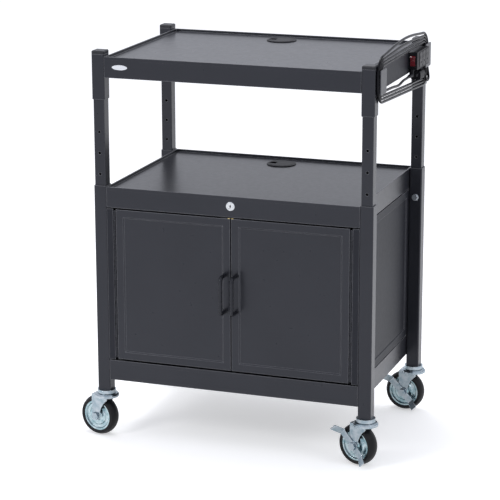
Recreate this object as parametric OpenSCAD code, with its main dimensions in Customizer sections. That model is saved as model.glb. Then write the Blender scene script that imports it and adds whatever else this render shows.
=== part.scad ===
// Rolling projector cart: a steel cabinet with two doors, an open bay, and a top
// shelf on four telescoping posts, with a power unit and its cord on one side.
// Origin on the floor under the middle of the frame, front towards -Y, +Z up.

/* [Frame] */
// Width over the legs
frame_w = 694; // [680:1:740]
// Depth over the legs
frame_d = 462; // [450:1:500]
// Outside size of the square leg tube
tube = 32; // [30:0.5:36]
// Wall of the leg tube
tube_wall = 2; // [1.5:0.1:2.4]
// Radius on the long edges of the leg tube
tube_round = 3; // [2:0.5:4]
// Leg that shows below the bottom shelf
leg_below = 30; // [20:1:60]
// Leg that stands above the middle shelf
leg_above = 1.5; // [0.5:0.5:6]

/* [Shelves] */
// Height of the apron round each shelf
apron_h = 50; // [45:1:60]
// Thickness of the sheet steel
sheet = 1.2; // [0.9:0.1:1.6]
// Height of the raised lip round the top of a shelf
lip_h = 6.5; // [4:0.5:9]
// Width of the folded lip
lip_w = 3; // [2.5:0.5:5]
// Width of the fold inwards under the apron
return_w = 10; // [6:1:14]
// Open height between the middle and the top shelf
bay_h = 263; // [262:1:300]

/* [Cabinet] */
// Height between the bottom and the middle apron
cabinet_h = 382; // [360:1:420]
// Gap above and below the side panels
panel_gap = 3; // [2:0.5:4]
// Width of the folded edge of a side panel
panel_fold = 16; // [14:1:18]
// Plain border round a pressed panel
border = 18; // [14:1:24]
// Depth of the pressed recess
recess = 2.5; // [1.5:0.5:4]
// Width of the slope round the recess
recess_slope = 3; // [2:0.5:5]
// Depth of the folded edge of the back panel
back_fold = 10; // [8:1:14]

/* [Doors] */
// Gap between the two doors
door_split = 3; // [2:0.5:4]
// Depth of a door over its folded edges
door_t = 15; // [12:1:18]
// Gap above the doors
door_top_gap = 4; // [3.5:0.5:6]
// Gap below the doors
door_foot_gap = 5; // [3:0.5:8]
// Gap between the side panel and the door, which holds the hinge barrel
hinge_gap = 7.5; // [7.5:0.5:9]
// Outside diameter of the hinge barrel
knuckle_d = 4.8; // [4.4:0.2:5]
// Diameter of the hinge pin
hinge_pin_d = 2.4; // [2:0.2:2.6]
// Length of one hinge knuckle, about
knuckle_len = 25; // [20:1:40]
// Thickness of a hinge leaf
leaf_t = 1; // [0.8:0.1:1.2]

/* [Door handles] */
// Distance between the two feet of a handle
handle_span = 89; // [76:1:128]
// Diameter of the handle rod
handle_rod = 9; // [8:0.5:10]
// Distance from the door to the middle of the rod
handle_reach = 34; // [28:1:40]
// Bend radius of the rod, at its middle
handle_corner = 11; // [8:1:14]
// Distance from the door's free edge to the handle
handle_inset = 12.5; // [10:0.5:13]
// Height of the middle of the handle above the foot of the door
handle_rise = 192; // [150:1:230]
// Diameter of the collar at each foot
handle_foot_d = 13; // [12:0.5:16]
// Thickness of that collar
handle_foot_t = 2; // [1.5:0.5:3]

/* [Lock] */
// Diameter of the lock's bright face
lock_face_d = 22; // [20:0.5:26]
// How far that face stands out
lock_face_t = 2.5; // [1.5:0.5:4]
// Diameter of the lock barrel
lock_barrel_d = 19; // [17:0.5:19]
// Length of the lock barrel behind the apron's face
lock_barrel_l = 25; // [22:1:30]
// Diameter of the key plug
lock_plug_d = 11.6; // [10:0.2:12.4]
// Height of the lock's middle above the foot of the middle apron
lock_rise = 26.7; // [22:0.5:30]
// Length of the cam from the lock's middle
cam_l = 33; // [32:0.5:34]
// Width of the cam
cam_w = 14; // [12:0.5:14]
// Thickness of the cam and of the strikes
cam_t = 2; // [1.5:0.1:2]

/* [Height adjustment] */
// Clearance between a riser and the leg, each side
riser_gap = 0.3; // [0.3:0.05:0.5]
// Wall of the riser tube
riser_wall = 1.5; // [1.2:0.1:2]
// Distance from hole to hole in a riser
hole_pitch = 50.8; // [48:0.1:51]
// Diameter of those holes
hole_d = 6.6; // [6:0.2:8]
// Distance from the top of a leg down to its clamp bolt
bolt_drop = 73.5; // [60:0.5:80]
// Diameter of the clamp bolt
bolt_d = 8; // [6:0.5:8]
// Part of a post below the top shelf
post_below = 53; // [40:1:54]
// Part of a post above the top shelf
post_above = 5; // [2:0.5:8]
// Height of the plastic cap on a post
cap_h = 8; // [6:0.5:10]

/* [Casters] */
// Diameter of the wheel
wheel_d = 100; // [95:1:105]
// Width of the tyre
tyre_w = 31; // [28:0.5:32]
// Thickness of the tyre
tyre_t = 11.9; // [10:0.1:14]
// Radius of the tyre's rounded tread
tread_r = 24; // [22:0.5:30]
// Distance from the swivel axis to the axle
trail = 21; // [18:0.5:26]
// Thickness of the fork's steel
fork_t = 2.5; // [2:0.1:3]
// Diameter of the axle
axle_d = 10; // [8:0.5:10]
// Outside diameter of the swivel head
crown_d = 60; // [58:0.5:64]
// Diameter of the race under the leg
race_d = 46; // [46:0.5:50]
// Reach of the brake's raised pedal from the axle
pedal_reach = 45; // [42:0.5:46]
// Swivel angle of the front left caster, from +X
swivel_fl = 168; // [0:1:359]
// Swivel angle of the front right caster
swivel_fr = 160; // [0:1:359]
// Swivel angle of the rear left caster
swivel_rl = 170; // [0:1:359]
// Swivel angle of the rear right caster
swivel_rr = 175; // [0:1:359]

/* [Grommets] */
// Outside diameter of the grommet's flange
grommet_d = 74; // [66:1:80]
// Width of that flange round the hole in the shelf
grommet_flange = 5; // [4:0.5:7]
// Sideways place of the grommets
grommet_x = -10; // [-30:1:30]
// Distance from the rear edge of a shelf to the middle of its grommet
grommet_in = 59; // [50:1:80]
// Width of the cord notch in the cap
notch_w = 18; // [12:1:22]

/* [Power unit] */
// Depth of the steel channel on the side of the top shelf
channel_d = 30; // [26:1:31]
// Distance that the outlet box stands out from the channel
box_out = 21; // [18:0.5:24]
// Length of the outlet box
box_l = 108; // [104:1:112]
// Height of the outlet box
box_h = 42; // [40:0.5:44]
// Distance from the channel's rear end to the box
box_in = 28.7; // [27:0.1:31]
// Number of outlets
outlets = 3; // [2:1:3]
// Distance from the outside of the legs to a cord horn
horn_in = 53; // [51:1:58]
// Height of a horn's arm
horn_h = 36; // [30:0.5:36]
// Gap behind a horn's lip, which holds the cord
horn_gap = 10; // [9.6:0.1:12]

/* [Cord] */
// Diameter of the cord
cord_d = 6.2; // [5.8:0.1:6.3]
// Distance from one turn of the winding to the next
cord_pitch = 6.9; // [6.9:0.1:7.2]

/* [Hidden] */

$fn = 48;
// How far a cut runs past the face that it opens
over = 1;
// Clearance between parts that slide or turn past each other
slip = 0.3;
// Radial clearance of a shaft that turns in its bore
run_fit = 0.05;
// Radial clearance of a bolt or barrel in a plain hole
hole_fit = 0.1;

// Colours
coat = "#3d3c45";
plastic = "#26262b";
zinc = "#b9c0c4";
chrome = "#d8dadd";
rubber = "#2b292d";
brass_zinc = "#cdbb7a";
cord_grey = "#5f5f66";
switch_red = "#b3202c";

// Caster heights, from the floor up
wheel_r = wheel_d / 2;
crown_gap = 1.5;
crown_skirt = 4.5;
crown_rise = 5.2;
race_h = 8.5;
crown_foot_z = wheel_d + crown_gap;
crown_top_z = crown_foot_z + crown_skirt + crown_rise;
race_foot_z = crown_top_z + slip;
leg_foot_z = race_foot_z + race_h;

// Frame heights
bottom_z = leg_foot_z + leg_below;
bottom_top_z = bottom_z + apron_h;
middle_z = bottom_top_z + cabinet_h;
middle_top_z = middle_z + apron_h;
leg_top_z = middle_top_z + leg_above;
top_z = middle_top_z + bay_h;
top_top_z = top_z + apron_h;
post_foot_z = top_z - post_below;
post_top_z = top_top_z + post_above;
bolt_z = leg_top_z - bolt_drop;

// Frame places
shelf_w = frame_w - 2 * tube;
half_w = frame_w / 2;
half_shelf = shelf_w / 2;
half_d = frame_d / 2;
leg_x = half_w - tube / 2;
leg_y = half_d - tube / 2;
tube_bore = tube - 2 * tube_wall;
bore_round = max(tube_round - tube_wall, 0.5 * tube_wall);
riser = tube_bore - 2 * riser_gap;
riser_round = bore_round + riser_gap;
lock_z = middle_z + lock_rise;

// A block between two opposite corners
module span(low, high) {
  translate(low) cube(high - low);
}

// A rectangle about the middle with round corners
module rounded_rect(w, h, r) {
  square([w - 2 * r, h], center = true);
  square([w, h - 2 * r], center = true);
  for (x = [-1, 1], y = [-1, 1])
    translate([x * (w / 2 - r), y * (h / 2 - r)]) circle(r);
}

// A square tube with round edges, standing on z = 0
module square_tube(size, wall, round_out, round_in, h) {
  linear_extrude(h) difference() {
    rounded_rect(size, size, round_out);
    rounded_rect(size - 2 * wall, size - 2 * wall, round_in);
  }
}

// A shallow pressed shape: w by h at y = 0, smaller by the slope at y = depth
module pressing(w, h, depth, slope) {
  lead = slope * over / depth;
  intersection() {
    translate([0, 0, -h / 2 - lead]) linear_extrude(h + 2 * lead)
      polygon([[-w / 2 - lead, -over], [w / 2 + lead, -over],
               [w / 2 - slope, depth], [-w / 2 + slope, depth]]);
    translate([-w / 2 - lead, 0, 0]) rotate([90, 0, 90]) linear_extrude(w + 2 * lead)
      polygon([[-over, -h / 2 - lead], [depth, -h / 2 + slope],
               [depth, h / 2 - slope], [-over, h / 2 + lead]]);
  }
}

// A sheet panel with folded edges: its face on y = 0, its folds towards +Y,
// and a pressed recess set in from the sides by side_in and the ends by end_in
module pressed_pan(w, h, depth, side_in, end_in) {
  face_w = w - 2 * side_in;
  face_h = h - 2 * end_in;
  difference() {
    span([-w / 2, 0, 0], [w / 2, depth, h]);
    difference() {
      span([-w / 2 + sheet, sheet, sheet], [w / 2 - sheet, depth + over, h - sheet]);
      translate([0, sheet, h / 2]) pressing(face_w, face_h, recess, recess_slope);
    }
    translate([0, 0, h / 2]) pressing(face_w, face_h, recess, recess_slope);
  }
}

// One steel shelf: a pan with a folded lip above and an apron folded in below
module shelf(foot_z) {
  top = foot_z + apron_h;
  pan = top - lip_h;
  difference() {
    span([-half_shelf, -half_d, foot_z], [half_shelf, half_d, top]);
    span([-half_shelf + lip_w, -half_d + lip_w, pan], [half_shelf - lip_w, half_d - lip_w, top + over]);
    span([-half_shelf + sheet, -half_d + sheet, foot_z + sheet],
         [half_shelf - sheet, half_d - sheet, pan - sheet]);
    span([-half_shelf + return_w, -half_d + return_w, foot_z - over],
         [half_shelf - return_w, half_d - return_w, foot_z + 2 * sheet]);
  }
}

// Grommet places
grommet_y = half_d - grommet_in;
grommet_hole_r = grommet_d / 2 - grommet_flange;

module grommet_hole(foot_z) {
  translate([grommet_x, grommet_y, foot_z + sheet]) cylinder(h = apron_h, r = grommet_hole_r);
}

module shelf_bottom() {
  color(coat) shelf(bottom_z);
}

module shelf_middle() {
  color(coat) difference() {
    shelf(middle_z);
    grommet_hole(middle_z);
    translate([0, -half_d - over, lock_z]) rotate([-90, 0, 0])
      cylinder(h = sheet + 2 * over, d = lock_barrel_d + 2 * hole_fit);
  }
}

module shelf_top() {
  color(coat) difference() {
    shelf(top_z);
    grommet_hole(top_z);
  }
}

// Legs, risers and posts. side is -1 for left and 1 for right, end is -1 for
// front and 1 for rear. The clamp bolt goes in through the face towards the
// middle of the cart.
module leg(side, end) {
  color(coat) translate([side * leg_x, end * leg_y, 0]) difference() {
    translate([0, 0, leg_foot_z])
      square_tube(tube, tube_wall, tube_round, bore_round, leg_top_z - leg_foot_z);
    translate([0, 0, bolt_z]) rotate([end * 90, 0, 0])
      cylinder(h = tube, d = bolt_d + 2 * hole_fit);
  }
}

bolt_head_w = 13;
bolt_head_h = 5.3;
bolt_washer_d = 17;
bolt_washer_t = 1.6;

// Clamp bolt: its tip is level with the leg's bore, a slip short of the riser
module height_bolts() {
  color(zinc) for (side = [-1, 1], end = [-1, 1])
    translate([side * leg_x, end * leg_y, bolt_z]) rotate([end * 90, 0, 0]) {
      translate([0, 0, tube / 2 - tube_wall]) cylinder(h = tube_wall + bolt_washer_t, d = bolt_d);
      translate([0, 0, tube / 2]) cylinder(h = bolt_washer_t, d = bolt_washer_d);
      translate([0, 0, tube / 2 + bolt_washer_t])
        cylinder(h = bolt_head_h, d = bolt_head_w / cos(30), $fn = 6);
    }
}

// Holes above and below the one that the bolt stands at
holes_above = 4;
holes_below = 2;
riser_tail = 58;
riser_foot_z = bolt_z - holes_below * hole_pitch - riser_tail;
cap_plug_h = 12;
riser_top_z = post_top_z - cap_plug_h - slip;

module risers() {
  color(coat) for (side = [-1, 1], end = [-1, 1])
    translate([side * leg_x, end * leg_y, 0]) difference() {
      translate([0, 0, riser_foot_z]) square_tube(riser, riser_wall, riser_round,
        riser_round / 2, riser_top_z - riser_foot_z);
      for (i = [-holes_below:holes_above])
        translate([0, riser, bolt_z + i * hole_pitch]) rotate([90, 0, 0])
          cylinder(h = 2 * riser, d = hole_d);
    }
}

module top_posts() {
  color(coat) for (side = [-1, 1], end = [-1, 1])
    translate([side * leg_x, end * leg_y, post_foot_z])
      square_tube(tube, tube_wall, tube_round, bore_round, post_top_z - post_foot_z);
}

cap_slope = 2.5;
cap_plug_wall = 2;

// The head of a post cap: square, with all four top edges sloped
module cap_head() {
  fall = cap_h - cap_slope + over;
  profile = [[-tube / 2 - fall, -over], [tube / 2 + fall, -over],
             [tube / 2 - cap_slope, cap_h], [-tube / 2 + cap_slope, cap_h]];
  intersection() {
    linear_extrude(cap_h + over) rounded_rect(tube, tube, tube_round);
    rotate([90, 0, 0]) linear_extrude(2 * tube, center = true) polygon(profile);
    rotate([90, 0, 90]) linear_extrude(2 * tube, center = true) polygon(profile);
  }
}

module post_caps() {
  plug = tube_bore - slip;
  color(plastic) for (side = [-1, 1], end = [-1, 1])
    translate([side * leg_x, end * leg_y, post_top_z]) {
      cap_head();
      translate([0, 0, -cap_plug_h]) linear_extrude(cap_plug_h) difference() {
        rounded_rect(plug, plug, bore_round);
        rounded_rect(plug - 2 * cap_plug_wall, plug - 2 * cap_plug_wall, bore_round);
      }
    }
}

// Side and back panels of the cabinet
panel_border = 50;
panel_foot_z = bottom_top_z + panel_gap;
panel_h = cabinet_h - 2 * panel_gap;

module side_panel(side) {
  color(coat) translate([side * half_shelf, 0, panel_foot_z]) rotate([0, 0, side * 90])
    pressed_pan(frame_d, panel_h, panel_fold, panel_border, border);
}

module back_panel() {
  color(coat) translate([0, half_d - sheet, panel_foot_z + sheet + slip]) rotate([0, 0, 180])
    pressed_pan(shelf_w - 2 * (sheet + slip), panel_h - 2 * (sheet + slip), back_fold,
      panel_border, border);
}

// Doors
door_edge_x = half_shelf - panel_fold - hinge_gap;
door_w = door_edge_x - door_split / 2;
door_foot_z = bottom_top_z + door_foot_gap;
door_top_z = middle_z - door_top_gap;
door_h = door_top_z - door_foot_z;

module door(side) {
  color(coat) translate([side * (door_split + door_w) / 2, -half_d, door_foot_z])
    pressed_pan(door_w, door_h, door_t, border, border);
}

// Piano hinge. Local x runs from the pin towards the side panel.
hinge_x = half_shelf - panel_fold - hinge_gap / 2;
hinge_y = -half_d + knuckle_d / 2;
hinge_trim = 3;
hinge_l = door_h - 2 * hinge_trim;
hinge_foot_z = door_foot_z + hinge_trim;
knuckles = 2 * floor(hinge_l / knuckle_len / 2) + 1;
knuckle_pitch = hinge_l / knuckles;
knuckle_gap = 0.4;
leaf_clear = 0.35;
leaf_edge = knuckle_d / 2 + leaf_clear;
frame_leaf_w = 14;
frame_leaf_y = sheet - knuckle_d / 2;
door_leaf_y = door_t - 3 * leaf_t;

// Every second knuckle of the barrel, each with its web out to the leaf
module knuckle_row(first, web_low, web_high) {
  length = knuckle_pitch - knuckle_gap;
  for (i = [first:2:knuckles - 1])
    translate([0, 0, hinge_foot_z + i * knuckle_pitch + knuckle_gap / 2]) {
      cylinder(h = length, d = knuckle_d);
      span([web_low[0], web_low[1], 0], [web_high[0], web_high[1], length]);
    }
}

module pin_bore() {
  translate([0, 0, hinge_foot_z - over])
    cylinder(h = hinge_l + 2 * over, d = hinge_pin_d + 2 * run_fit);
}

module frame_leaf() {
  difference() {
    union() {
      knuckle_row(0, [0, frame_leaf_y], [leaf_edge + over, frame_leaf_y + leaf_t]);
      span([leaf_edge, frame_leaf_y, hinge_foot_z],
           [frame_leaf_w, frame_leaf_y + leaf_t, hinge_foot_z + hinge_l]);
    }
    pin_bore();
  }
}

module door_leaf() {
  edge = hinge_gap / 2;
  difference() {
    union() {
      knuckle_row(1, [-edge, -leaf_t / 2], [0, leaf_t / 2]);
      span([-edge, -leaf_t / 2, hinge_foot_z], [-edge + leaf_t, door_leaf_y, hinge_foot_z + hinge_l]);
    }
    pin_bore();
  }
}

module hinge_leaves_frame() {
  color(coat) for (side = [0, 1])
    mirror([side, 0, 0]) translate([hinge_x, hinge_y, 0]) frame_leaf();
}

module hinge_leaf_door_left() {
  color(coat) mirror([1, 0, 0]) translate([hinge_x, hinge_y, 0]) door_leaf();
}

module hinge_leaf_door_right() {
  color(coat) translate([hinge_x, hinge_y, 0]) door_leaf();
}

module hinge_pins() {
  color(zinc) for (side = [-1, 1])
    translate([side * hinge_x, hinge_y, hinge_foot_z]) cylinder(h = hinge_l, d = hinge_pin_d);
}

// Handle: one bent rod with a collar at each foot
module half_handle() {
  half = handle_span / 2;
  straight = handle_reach - handle_corner;
  translate([0, 0, half]) rotate([90, 0, 0]) {
    cylinder(h = straight, d = handle_rod);
    cylinder(h = handle_foot_t, d = handle_foot_d);
  }
  translate([0, -straight, half - handle_corner]) rotate([180, 0, 0]) rotate([0, 90, 0])
    rotate_extrude(angle = 90) translate([handle_corner, 0]) circle(d = handle_rod);
  translate([0, -handle_reach, 0]) cylinder(h = half - handle_corner, d = handle_rod);
}

module handle(side) {
  color(coat) translate([side * (door_split / 2 + handle_inset), -half_d, door_foot_z + handle_rise])
    for (m = [0, 1]) mirror([0, 0, m]) half_handle();
}

// Lock. Its parts are drawn with z running in from the apron's face.
lock_plug_sink = 0.5;
lock_bevel = 1;
cam_hole = 7;
cam_head_d = 11;
cam_head_t = 2;
keyway = [1.8, 8, 10];
cam_y = -half_d + lock_barrel_l + slip;

module lock_barrel() {
  bore = lock_plug_d / 2 + run_fit;
  face = lock_face_d / 2;
  color(chrome) translate([0, -half_d, lock_z]) rotate([-90, 0, 0]) rotate_extrude()
    polygon([[bore, -lock_face_t], [face - lock_bevel, -lock_face_t], [face, -lock_face_t + lock_bevel],
             [face, 0], [lock_barrel_d / 2, 0], [lock_barrel_d / 2, lock_barrel_l], [bore, lock_barrel_l]]);
}

module lock_plug() {
  neck_z = lock_barrel_l + slip;
  color(chrome) translate([0, -half_d, lock_z]) rotate([-90, 0, 0]) difference() {
    union() {
      translate([0, 0, -lock_face_t + lock_plug_sink])
        cylinder(h = neck_z + lock_face_t - lock_plug_sink, d = lock_plug_d);
      span([-cam_hole / 2, -cam_hole / 2, neck_z], [cam_hole / 2, cam_hole / 2, neck_z + cam_t]);
      translate([0, 0, neck_z + cam_t]) cylinder(h = cam_head_t, d = cam_head_d);
    }
    translate([-keyway[0] / 2, -keyway[1] / 2, -lock_face_t - over]) cube(keyway);
  }
}

module lock_cam() {
  reach = cam_l - cam_w / 2;
  color(zinc) translate([0, cam_y, lock_z]) rotate([-90, 0, 0]) linear_extrude(cam_t) difference() {
    union() {
      circle(d = cam_w);
      translate([reach, 0]) circle(d = cam_w);
      translate([0, -cam_w / 2]) square([reach, cam_w]);
    }
    square(cam_hole, center = true);
  }
}

strike_w = 22.5;
strike_t = 1.5;
strike_lead = 0.5;
strike_tail = 6;
notch_side = 17;
notch_room = 1.8;

// The strike lies on a door's top fold; the cam drops into its notch
module strike(side) {
  edge = door_split / 2;
  color(brass_zinc) mirror([side < 0 ? 1 : 0, 0, 0]) difference() {
    span([edge, -half_d + strike_lead, door_top_z],
         [edge + strike_w, cam_y + strike_tail, door_top_z + strike_t]);
    span([edge - over, cam_y - notch_room, door_top_z - over],
         [notch_side, cam_y + cam_t + notch_room, door_top_z + strike_t + over]);
  }
}

// Grommet: a flanged sleeve in the shelf with a cap that turns in it
grommet_rise = 2.2;
grommet_bevel = 0.8;
grommet_ledge = 0.6;
grommet_sleeve = 12;
sleeve_out = grommet_hole_r - 0.5 * grommet_ledge;
sleeve_t = 3;
cap_lap = 2.5;
sleeve_in = sleeve_out - sleeve_t;
cap_seat = sleeve_in + cap_lap;
cap_rise = 0.4;
cap_skirt_h = 6;
cap_skirt_t = 1.8;
notch_reach = 13;

module grommet(foot_z) {
  color(plastic) translate([grommet_x, grommet_y, foot_z + apron_h - lip_h]) rotate_extrude()
    polygon([[sleeve_in, -grommet_sleeve], [sleeve_out, -grommet_sleeve], [sleeve_out, 0],
             [grommet_d / 2, 0], [grommet_d / 2, grommet_rise - grommet_bevel],
             [grommet_d / 2 - grommet_bevel, grommet_rise], [cap_seat, grommet_rise],
             [cap_seat, grommet_ledge], [sleeve_in, grommet_ledge]]);
}

module grommet_cap(foot_z) {
  under = grommet_ledge + slip;
  top = grommet_rise + cap_rise;
  rim = cap_seat - slip;
  skirt = sleeve_in - slip;
  color(plastic) translate([grommet_x, grommet_y, foot_z + apron_h - lip_h]) difference() {
    rotate_extrude() polygon([[0, under], [skirt - cap_skirt_t, under],
      [skirt - cap_skirt_t, -cap_skirt_h], [skirt, -cap_skirt_h], [skirt, under], [rim, under],
      [rim, top - cap_rise], [rim - cap_rise, top], [0, top]]);
    span([-grommet_d, -notch_w / 2, -cap_skirt_h - over], [-notch_reach, notch_w / 2, top + over]);
  }
}

// Power unit on the right side of the top shelf
channel_wall = 1.5;
channel_x = half_shelf + channel_d;
channel_half = half_d - tube - slip;
box_x = channel_x + box_out;
box_y = channel_half - box_in - box_l;
box_foot_z = top_top_z - box_h;
box_round = 3;
box_wall = 2.4;
switch_room = 22;

module power_channel() {
  color(coat) difference() {
    span([half_shelf, -channel_half, top_z], [channel_x, channel_half, top_top_z]);
    span([half_shelf - over, -channel_half + channel_wall, top_z + channel_wall],
         [channel_x - channel_wall, channel_half - channel_wall, top_top_z - channel_wall]);
  }
}

// Receptacles: one insert for each outlet, flush in the box's face
outlet_w = 23;
outlet_h = 33;
outlet_depth = 9;
outlet_lip = 1;
outlet_lip_t = 0.8;
blade_apart = 12.7;
blade_slot = [2.2, 7.5];
earth_d = 5.2;
earth_drop = 11.9;
blade_rise = 5;
outlet_pitch = (box_l - switch_room - box_wall) / outlets;

function outlet_y(i) = box_y + switch_room + outlet_pitch * (i + 0.5) - box_wall / 2;

outlet_z = box_foot_z + box_h / 2;

module receptacles() {
  color(plastic) for (i = [0:outlets - 1])
    translate([box_x, outlet_y(i), outlet_z]) rotate([90, 0, 90]) difference() {
      union() {
        translate([0, 0, -outlet_depth]) linear_extrude(outlet_depth + outlet_lip_t)
          rounded_rect(outlet_w, outlet_h, box_round);
        linear_extrude(outlet_lip_t) rounded_rect(outlet_w + 2 * outlet_lip, outlet_h + 2 * outlet_lip,
          box_round + outlet_lip);
      }
      translate([0, 0, -outlet_depth + channel_wall]) linear_extrude(outlet_depth + over) {
        for (s = [-1, 1]) translate([s * blade_apart / 2, blade_rise]) square(blade_slot, center = true);
        translate([0, blade_rise - earth_drop]) circle(d = earth_d);
      }
    }
}

// Rocker switch in the box's front end. Its parts are drawn along X, with the
// first local axis out of the end face and the second up.
rocker_w = 12;
rocker_r = 13;
rocker_sink = 2.8;
rocker_back = 4;
rocker_dip = 5.4;
rocker_horn = 7.6;
rocker_tilt = 8;
bezel_w = 16;
bezel_h = 30;
bezel_t = 1.2;
trunnion_d = 3;
trunnion_l = 2.5;
rocker_x = channel_x + box_out / 2;
rocker_y = box_y + rocker_sink;
rocker_z = outlet_z;

module rocker_place() {
  translate([rocker_x, rocker_y, rocker_z]) rotate([90, 0, -90]) children();
}

module outlet_box() {
  color(plastic) difference() {
    union() {
      translate([channel_x, box_y + box_l / 2, outlet_z]) rotate([90, 0, 90]) linear_extrude(box_out)
        rounded_rect(box_l, box_h, box_round);
      span([rocker_x - bezel_w / 2, box_y - bezel_t, rocker_z - bezel_h / 2],
           [rocker_x + bezel_w / 2, box_y + bezel_t, rocker_z + bezel_h / 2]);
    }
    span([channel_x - over, box_y + switch_room, box_foot_z + box_wall],
         [box_x - box_wall, box_y + box_l - box_wall, top_top_z - box_wall]);
    for (i = [0:outlets - 1]) translate([box_x - 2 * box_wall, outlet_y(i), outlet_z])
      rotate([90, 0, 90]) linear_extrude(3 * box_wall) rounded_rect(outlet_w, outlet_h, box_round);
    rocker_place() {
      cylinder(h = rocker_w + 2 * slip, r = rocker_r + slip, center = true);
      cylinder(h = rocker_w + 2 * (trunnion_l + slip), d = trunnion_d + 2 * run_fit, center = true);
    }
  }
}

module rocker_switch() {
  color(switch_red) rocker_place() rotate([0, 0, -rocker_tilt]) {
    linear_extrude(rocker_w, center = true) intersection() {
      circle(rocker_r);
      polygon([[-rocker_back, -rocker_r - over], [rocker_horn, -rocker_r - over], [rocker_dip, 0],
               [rocker_horn, rocker_r + over], [-rocker_back, rocker_r + over]]);
    }
    cylinder(h = rocker_w + 2 * trunnion_l, d = trunnion_d, center = true);
  }
}

// Cord outlet under the box: a stub, a ball and a taper towards the front
cord_out = 6;
cord_x = channel_x + cord_out;
relief_r = 5.6;
relief_tip_r = 4;
relief_drop = 13.5;
relief_l = 24.5;
relief_in = 6.5;
relief_y = box_y + relief_in;
relief_z = box_foot_z - relief_drop;

module cord_relief() {
  color(plastic) translate([cord_x, relief_y, relief_z]) {
    cylinder(h = relief_drop, r = relief_r);
    sphere(relief_r);
    rotate([90, 0, 0]) cylinder(h = relief_l, r1 = relief_r, r2 = relief_tip_r);
  }
}

// Horns that the cord is wound on
horn_y = half_d - horn_in;
horn_foot_t = 2;
horn_w = 12;
horn_lip_t = 3;
horn_lip_in = 4;
horn_lip_out = 42;
horn_lip_foot = 5;
horn_round = 4;
horn_drop = 8;
horn_top_z = top_top_z + horn_foot_t;

module cord_hooks() {
  lip_h = horn_top_z - top_z + horn_lip_foot;
  arm_z = horn_top_z - horn_drop - horn_h / 2;
  color(coat) for (end = [-1, 1])
    translate([channel_x, end * horn_y, 0]) rotate([90, 0, 90]) {
      translate([0, arm_z]) linear_extrude(horn_gap + horn_foot_t) rounded_rect(horn_w, horn_h, horn_round);
      translate([end * (horn_lip_out - horn_lip_in) / 2, horn_top_z - lip_h / 2, horn_gap])
        linear_extrude(horn_lip_t) rounded_rect(horn_lip_out + horn_lip_in, lip_h, horn_round);
    }
}

// Cord. The winding goes round both horns: 180 is its front end, 0 its rear.
cord_r = cord_d / 2;
turns = 3.5;
turn_rings = 24;
wind_y = -6.6;
wind_drop = 9.5;
wind_z = outlet_z - wind_drop;
wind_half_l = 195.5;
wind_top_h = 36.3;
wind_foot_h = 36;
wind_foot_pitch = 7.4;
wind_foot_lean = 0.06;
wind_sag = 16;
wind_corner = 19;
wind_start_share = 0.65;

// A quarter of a turn in six steps, from the middle of an end round its corner
// to the middle of the long run: the share of the straight run, the angle round
// the corner, and the share of the straight end
run_shares = [1, 1, 1, 1, 0.67, 0.33, 0];
corner_angles = [0, 15, 45, 75, 90, 90, 90];
end_shares = [0, 1, 1, 1, 1, 1, 1];

// Ring i of the winding, a rectangle with round corners that grows by one pitch
// a turn, with a foot that leans and spreads and a top that arches
function wind(i) =
  let (t = i / turn_rings, steps = turn_rings / 4, quarter = floor(i / steps) % 4,
       k = i % steps, j = quarter % 2 == 0 ? k : steps - k, grown = cord_pitch * t,
       angle = corner_angles[j], corner = wind_corner + grown, half_l = wind_half_l + grown,
       along = (half_l - corner) * run_shares[j] + corner * cos(angle),
       y = wind_y + (quarter == 0 || quarter == 3 ? -along : along),
       arch = wind_sag * pow(t / turns, 2) * pow(max(1 - pow((y - wind_y) / half_l, 2), 0), 2),
       half_h = quarter < 2 ? wind_top_h + grown
         : wind_foot_h + wind_foot_lean * y + wind_foot_pitch * t,
       rise = (half_h - corner) * end_shares[j] + corner * sin(angle))
  [cord_x, y, wind_z + (quarter < 2 ? rise + arch : -rise)];

wind_start = wind(0) * (1 - wind_start_share) + wind(1) * wind_start_share;
wind_end = wind(turns * turn_rings);
hank_path = concat([wind_start - [0, 0, cord_d], wind_start],
                   [for (i = [1:turns * turn_rings]) wind(i)],
                   [wind_end - [0, 0, cord_d]]);

// The winding's least distance to itself, between middle lines less one diameter
hank_fine = [for (i = [0:4 * turns * turn_rings - 1]) let (a = floor(i / 4), f = (i - 4 * a) / 4)
  hank_path[a + 1] * (1 - f) + hank_path[a + 2] * f];
hank_gap = min([for (i = [0:len(hank_fine) - 1])
  for (j = [i + 48:len(hank_fine) - 1]) norm(hank_fine[i] - hank_fine[j])]) - cord_d;
echo(hank_gap = hank_gap);

function unit(v) = v / norm(v);

function path_ring(p, along, r, sides) =
  let (a = unit([1, 0, 0] - along * along[0]), b = cross(along, a))
  [for (j = [0:sides - 1]) p + r * (cos(360 * j / sides) * a + sin(360 * j / sides) * b)];

// A round tube of radius r along a path, with flat ends square to the path
module tube_path(path, r, sides) {
  last = len(path) - 1;
  points = [for (i = [0:last])
    let (before = path[max(i - 1, 0)], after = path[min(i + 1, last)])
    each path_ring(path[i], i == 0 || i == last ? unit(after - before)
      : unit(unit(path[i] - before) + unit(after - path[i])), r, sides)];
  skin = [for (i = [0:last - 1]) for (j = [0:sides - 1])
    let (a = i * sides + j, b = i * sides + (j + 1) % sides)
    each [[a, a + sides, b], [b, a + sides, b + sides]]];
  first_cap = [for (j = [1:sides - 2]) [0, j, j + 1]];
  last_cap = [for (j = [1:sides - 2]) [last * sides, last * sides + j + 1, last * sides + j]];
  polyhedron(points, concat(skin, first_cap, last_cap));
}

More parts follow.
